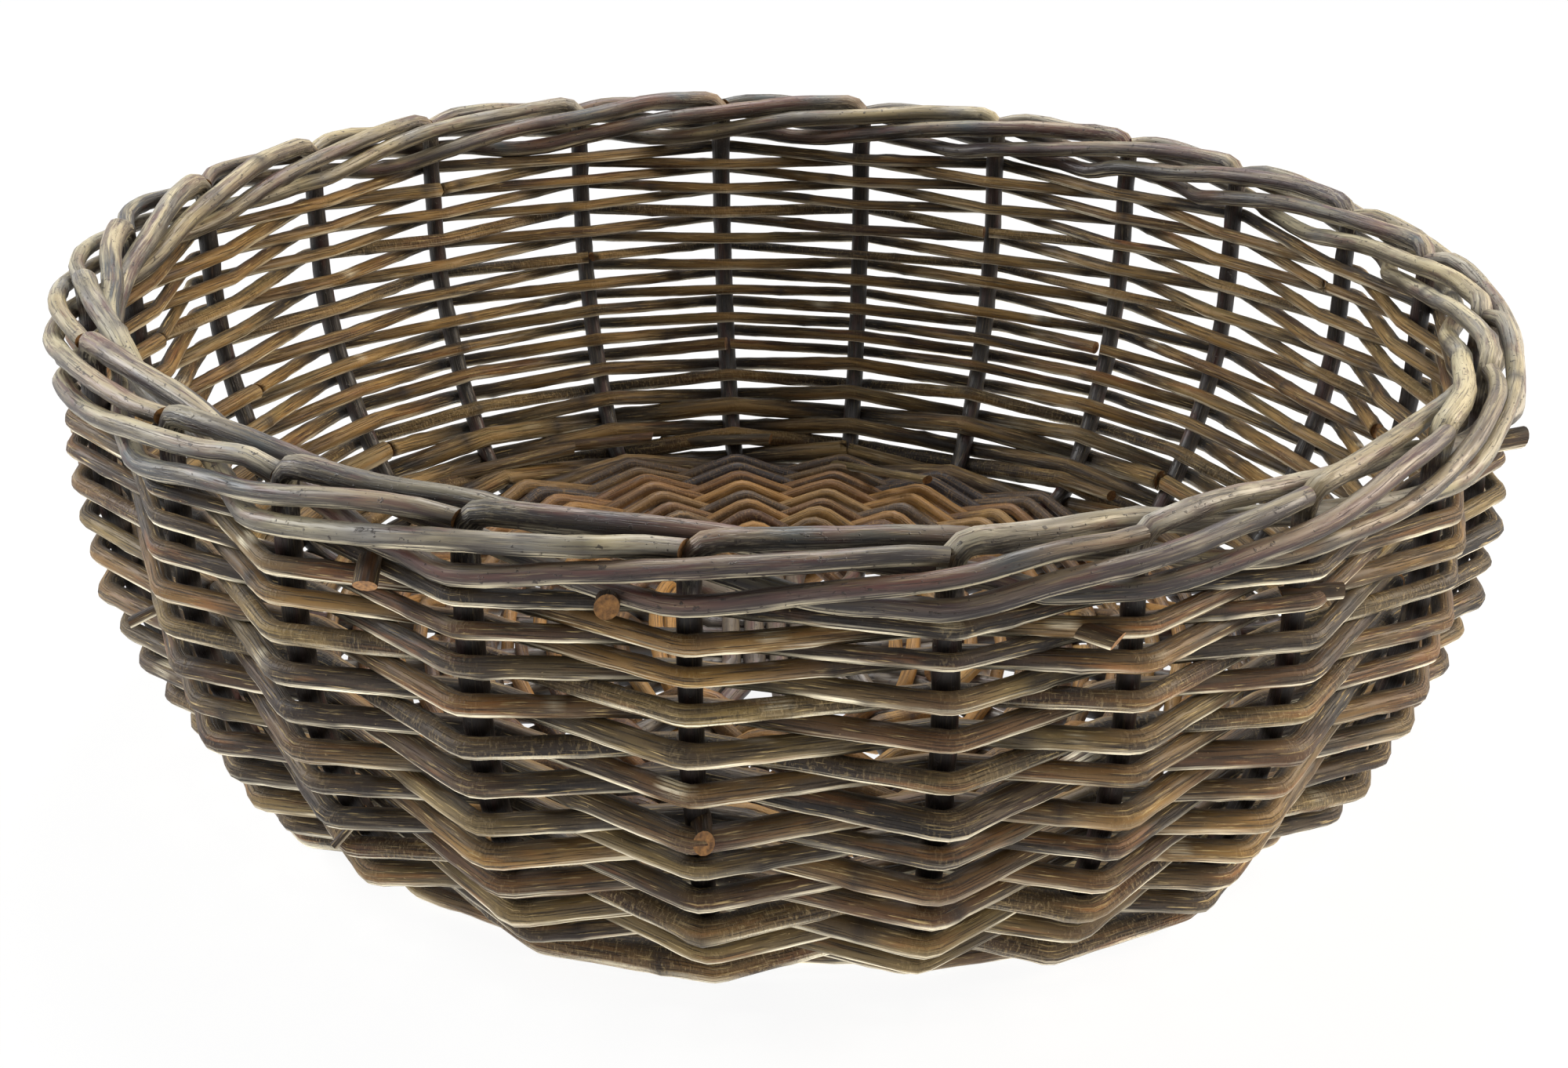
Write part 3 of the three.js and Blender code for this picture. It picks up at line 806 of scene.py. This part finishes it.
# The two base weavers, which are pieced from several rods in turn
baseWork = {
    "lead": 2 * (bowl["baseWeaver"] + bowl["gap"]),
    "step": 5 * mm,
    "plump": 1.06,
    "spread": 0.12,
    "edge": 2.5 * mm,  # how far past its seat the last round is pressed
    "wander": 0.6 * mm,
    "wanderLength": 25 * mm,
    "wanderShift": 7,  # keeps the two weavers' ways apart
    "steepest": 0.75,  # sine of the steepest way between two spokes
    "passesPerRod": 7,
    "tones": (0, 1),
    "darkFrom": 128 * mm,  # from here out the base is woven of dark rods
    "darkTones": (0.87, 1.1),
    "wrinkle": 0.6,
    "seed": 500,
}


def baseWeaver(order):
    growth = random.Random(baseWork["seed"] + order)
    lead = baseWork["lead"]
    pairStart = bindRadius + bowl["baseWeaver"] / 2
    pairSteps = 2 * math.floor((openRadius - pairStart) / lead * stakes / 2)
    singleStart = openRadius + bowl["baseWeaver"] / 2
    singleEnd = bowl["baseRadius"] - bowl["baseWeaver"] / 2 - bowl["gap"] + baseWork["edge"]
    singleSteps = math.floor((singleEnd - singleStart) / lead * stakes)
    passes = []
    for step in range(pairSteps + singleSteps):
        spoke = (step + order * stakes // 2) % stakes
        if step < pairSteps:
            radius = pairStart + lead * step / stakes
            over = (spoke // 2 + order) % 2 == 0
        else:
            radius = singleStart + lead * (step - pairSteps) / stakes
            over = (spoke + order) % 2 == 0
        passes.append((spoke, radius, 1 if over else -1))
    line = []
    for k, (spoke, radius, side) in enumerate(passes):
        if k % baseWork["passesPerRod"] == 0:
            tones = baseWork["darkTones"] if radius > baseWork["darkFrom"] else baseWork["tones"]
            tone = growth.uniform(*tones)
            thick = bowl["baseWeaver"] * (baseWork["plump"] + growth.uniform(-1, 1) * baseWork["spread"])
            hug = rodRadius + thick / 2
        centre = spokePoint(spoke, radius)
        onward = upward.cross(centre).normalized()
        bay = 2 * radius * math.sin(bayAngle / 2)
        lean = math.asin(min(baseWork["steepest"], 2 * hug / bay))
        before = passes[max(k - 1, 0)][2]
        after = passes[min(k + 1, len(passes) - 1)][2]
        leans = [-1] * (before != side) + [0] + [1] * (after != side)
        for share in leans:
            place = centre + upward * side * hug * math.cos(lean * share)
            place += onward * hug * math.sin(lean * share)
            shift = Vector((baseWork["wanderShift"] * order, 0, 0))
            place += noise.noise_vector(place / baseWork["wanderLength"] + shift) * baseWork["wander"]
            addStop(line, place, -upward, thick / 2, tone, 0, baseWork["wrinkle"])
    name = f"base_weaver_{order + 1:02d}"
    piece = growRod(name + "_bark", straightLine(line, baseWork["step"]), [baseBark, cutEnd])
    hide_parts(name)


for order in range(2):
    baseWeaver(order)

# The weaver that ties the cross, over the arms of one layer and under those of the other
tieWork = {"rounds": 2, "start": 0.5, "step": 3 * mm, "tone": 0.4, "wrinkle": 0.4}


def tiePoint(spoke, share):  # on a rod of the cross, from its place there out to the base weave
    return crossPoint(spoke % stakes).lerp(spokePoint(spoke % stakes, bindRadius), share)


def crossTie():
    line = []
    arms = stakes // bowl["armRods"]
    steps = tieWork["rounds"] * arms * 2
    clear = rodRadius + math.sqrt(math.pi) * bowl["baseWeaver"] / 4 + bowl["gap"]
    for step in range(steps):
        arm = step // 2 % arms
        first = arm * bowl["armRods"]
        last = first + bowl["armRods"] - 1
        share = tieWork["start"] + (1 - tieWork["start"]) * step / steps
        place = tiePoint(last if step % 2 else first, share)
        gap = tiePoint(last + 1, share) - tiePoint(last, share)
        drop = 2 * clear - abs(gap.z)
        depth = clear / math.sqrt(1 - (drop / math.hypot(gap.x, gap.y)) ** 2)
        place.z += -depth if arm % 2 else depth
        addStop(line, place, -upward, bowl["baseWeaver"] / 2, tieWork["tone"], 0, tieWork["wrinkle"])
    piece = growRod("cross_tie_01_bark", springLine(line, tieWork["step"]), [baseBark, cutEnd])
    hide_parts("cross_tie_01")


crossTie()
print("base woven")

# A white studio: a glowing pale floor, a soft light overhead and one from each side
studio = {
    "floorSize": 6.0,
    "floorFade": 1.5,  # from the middle to where the floor is as white as the background
    "white": "#f4f4f2",
    "world": 0.15,
    "floorLight": 2.0,  # what the floor gives off, as a light table does
    "floorGlow": 0.92,  # how far the camera sees the floor as plain white
    "lamps": [
        {"place": (0.0, 0.6, 1.3), "size": 0.6, "power": 20, "colour": "#ffffff"},
        {"place": (1.2, 0.1, 0.7), "size": 0.6, "power": 30, "colour": "#fff1dc"},
        {"place": (-1.2, 0.1, 0.7), "size": 0.6, "power": 22, "colour": "#ffffff"},
    ],
}


def seenDirectly(tree):  # rays that should meet plain white
    path = addNode(tree, "LightPath").outputs
    share = path["Is Camera Ray"]
    for kind in ("Is Glossy Ray", "Is Transmission Ray"):
        share = addNode(tree, "Math", {"operation": "MAXIMUM"}, {0: share, 1: path[kind]}).outputs[0]
    return share


def whiteWorld():
    world = bpy.data.worlds.new("whiteStudio")
    bpy.context.scene.world = world
    world.use_nodes = True
    tree = world.node_tree
    tree.nodes.clear()
    lit = addNode(tree, "Background", inputs={"Color": linear("#ffffff"), "Strength": studio["world"]})
    seen = addNode(tree, "Background", inputs={"Color": linear("#ffffff"), "Strength": 1.0})
    shares = {0: seenDirectly(tree), 1: lit.outputs[0], 2: seen.outputs[0]}
    mixed = addNode(tree, "MixShader", inputs=shares)
    addNode(tree, "OutputWorld", inputs={"Surface": mixed.outputs[0]})


# Pale paint that lights the bowl from below, and that the camera sees as white with a faint shadow
def floorPaint():
    material = bpy.data.materials.new("paintedFloor")
    material.use_nodes = True
    tree = material.node_tree
    tree.nodes.clear()
    fade = [1 / studio["floorFade"]] * 3
    space = addNode(tree, "TexCoord").outputs["Object"]
    space = addNode(tree, "Mapping", inputs={"Vector": space, "Scale": fade}).outputs[0]
    near = addNode(tree, "TexGradient", {"gradient_type": "SPHERICAL"}, {"Vector": space}).outputs["Fac"]
    levels = {"Value": near, "To Min": 1.0, "To Max": studio["floorGlow"]}
    whiteness = addNode(tree, "MapRange", inputs=levels).outputs[0]
    direct = seenDirectly(tree)
    share = addNode(tree, "Math", {"operation": "MULTIPLY"}, {0: direct, 1: whiteness}).outputs[0]
    paint = addNode(tree, "BsdfDiffuse", inputs={"Color": linear(studio["white"])}).outputs[0]
    glow = addNode(tree, "Emission", inputs={"Strength": studio["floorLight"]}).outputs[0]
    lit = addNode(tree, "AddShader", inputs={0: paint, 1: glow}).outputs[0]
    seen = addNode(tree, "Emission", inputs={"Color": linear("#ffffff"), "Strength": 1.0}).outputs[0]
    unseen = addNode(tree, "MixShader", inputs={0: direct, 1: lit, 2: paint}).outputs[0]
    mixed = addNode(tree, "MixShader", inputs={0: share, 1: unseen, 2: seen})
    addNode(tree, "OutputMaterial", inputs={"Surface": mixed.outputs[0]})
    return material


def layFloor():
    shape = bmesh.new()
    bmesh.ops.create_grid(shape, x_segments=1, y_segments=1, size=studio["floorSize"] / 2)
    mesh = bpy.data.meshes.new("floor")
    shape.to_mesh(mesh)
    shape.free()
    mesh.materials.append(floorPaint())
    floor = bpy.data.objects.new("floor", mesh)
    bpy.context.scene.collection.objects.link(floor)


def hangLamps():
    for k, lamp in enumerate(studio["lamps"]):
        light = bpy.data.lights.new(f"softbox{k}", "AREA")
        light.shape = "SQUARE"
        light.size = lamp["size"]
        light.energy = lamp["power"]
        light.color = linear(lamp["colour"])[:3]
        holder = bpy.data.objects.new(f"softbox{k}", light)
        holder.location = lamp["place"]
        holder.rotation_euler = (-Vector(lamp["place"])).to_track_quat("-Z", "Y").to_euler()
        bpy.context.scene.collection.objects.link(holder)


whiteWorld()
layFloor()
hangLamps()
print("studio lit")

# The camera looks down on the bowl from close by, as in the photograph
camera = {
    "place": (0.00881, -0.62542, 0.32607),
    "pitch": -0.4192,
    "yaw": -0.0123,
    "roll": -0.0346,
    "lens": 53.66,  # millimetres, on a sensor this wide
    "sensor": 36,
    "clipStart": 0.01,
}


def makeCamera():
    data = bpy.data.cameras.new("camera")
    data.lens = camera["lens"]
    data.sensor_width = camera["sensor"]
    data.clip_start = camera["clipStart"]
    holder = bpy.data.objects.new("camera", data)
    pitch, yaw, roll = camera["pitch"], camera["yaw"], camera["roll"]
    forward = Vector((math.sin(yaw) * math.cos(pitch), math.cos(yaw) * math.cos(pitch), math.sin(pitch)))
    right = forward.cross(upward).normalized()
    down = forward.cross(right)
    rolledRight = right * math.cos(roll) + down * math.sin(roll)
    rolledDown = down * math.cos(roll) - right * math.sin(roll)
    turn = Matrix((rolledRight, -rolledDown, -forward)).transposed().to_4x4()
    holder.matrix_world = Matrix.Translation(camera["place"]) @ turn
    bpy.context.scene.collection.objects.link(holder)
    bpy.context.scene.camera = holder


makeCamera()
bpy.context.scene.view_settings.view_transform = "Standard"
